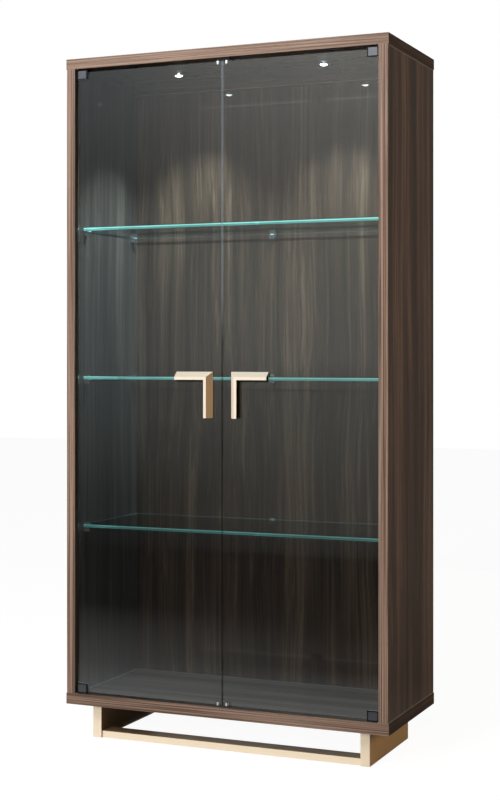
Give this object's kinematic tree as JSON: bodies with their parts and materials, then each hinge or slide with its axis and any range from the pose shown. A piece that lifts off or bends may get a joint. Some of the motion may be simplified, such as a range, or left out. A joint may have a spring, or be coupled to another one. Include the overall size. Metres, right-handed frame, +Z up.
{
  "type": "china cabinet",
  "caption": "Tall china cabinet: dark walnut carcass, frameless hinged glass doors with folded corner handles, glass shelves, ceiling lamps and a gold slab-leg base.",
  "frame": {"origin": "on the floor, at the bottom centre of the overall box", "axes": "+X to the right seen from the front, -Y out of the doors toward the room, +Z up"},
  "size_m": [1, 0.435, 2.009],
  "materials": {
    "walnut": "dark walnut veneer, satin lacquer",
    "edge_band": "striped walnut edge band, satin",
    "beech_tenon": "plain beech",
    "shelf_glass": "clear float glass with polished teal edges",
    "support_chrome": "polished chrome",
    "clear_pad": "translucent soft pad",
    "lamp_metal": "brushed aluminium",
    "lamp_lens": "frosted lens, lit",
    "catch_plastic": "black moulded plastic",
    "bright_steel": "zinc-plated steel",
    "bush_brass": "turned brass",
    "door_glass": "clear toughened glass",
    "hinge_dark": "dark painted die casting",
    "hinge_nickel": "nickel plated plate",
    "handle_gold": "champagne-gold anodised sheet",
    "base_gold": "board wrapped in champagne-gold metallic laminate",
    "felt": "felt-faced glide"
  },
  "bodies": {
    "carcass": {"top_panel": "walnut", "bottom_panel": "walnut", "left_side_panel": "walnut", "right_side_panel": "walnut", "back_panel": "walnut", "rear_top_rail": "walnut", "top_front_band": "edge_band", "bottom_front_band": "edge_band", "left_front_band": "edge_band", "right_front_band": "edge_band", "panel_tenons": "beech_tenon", "leg_tenons": "beech_tenon", "stretcher_tenons": "beech_tenon", "upper_shelf": "shelf_glass", "middle_shelf": "shelf_glass", "lower_shelf": "shelf_glass", "shelf_supports": "support_chrome", "shelf_pads": "clear_pad", "left_lamp_body": "lamp_metal", "right_lamp_body": "lamp_metal", "left_lamp_lens": "lamp_lens", "right_lamp_lens": "lamp_lens", "top_catch_body": "catch_plastic", "bottom_catch_body": "catch_plastic", "catch_magnets": "bright_steel", "hinge_bushes": "bush_brass", "left_base_leg": "base_gold", "right_base_leg": "base_gold", "base_stretcher": "base_gold", "floor_glides": "felt"},
    "left_door": {"left_door_glass": "door_glass", "left_top_hinge_clamp": "hinge_dark", "left_bottom_hinge_clamp": "hinge_dark", "left_hinge_covers": "hinge_nickel", "left_hinge_pins": "bright_steel", "left_hinge_pads": "clear_pad", "left_handle": "handle_gold", "left_handle_screws": "bright_steel", "left_strike_clips": "bright_steel"},
    "right_door": {"right_door_glass": "door_glass", "right_top_hinge_clamp": "hinge_dark", "right_bottom_hinge_clamp": "hinge_dark", "right_hinge_covers": "hinge_nickel", "right_hinge_pins": "bright_steel", "right_hinge_pads": "clear_pad", "right_handle": "handle_gold", "right_handle_screws": "bright_steel", "right_strike_clips": "bright_steel"}
  },
  "joints": [
    {"name": "left_door_hinge", "type": "hinge", "parent": "carcass", "child": "left_door", "pos_m": [-0.4685, -0.203, 1.05], "axis": [0, 0, -1], "range_deg": [0, 95]},
    {"name": "right_door_hinge", "type": "hinge", "parent": "carcass", "child": "right_door", "pos_m": [0.4685, -0.203, 1.05], "axis": [0, 0, 1], "range_deg": [0, 95]}
  ]
}
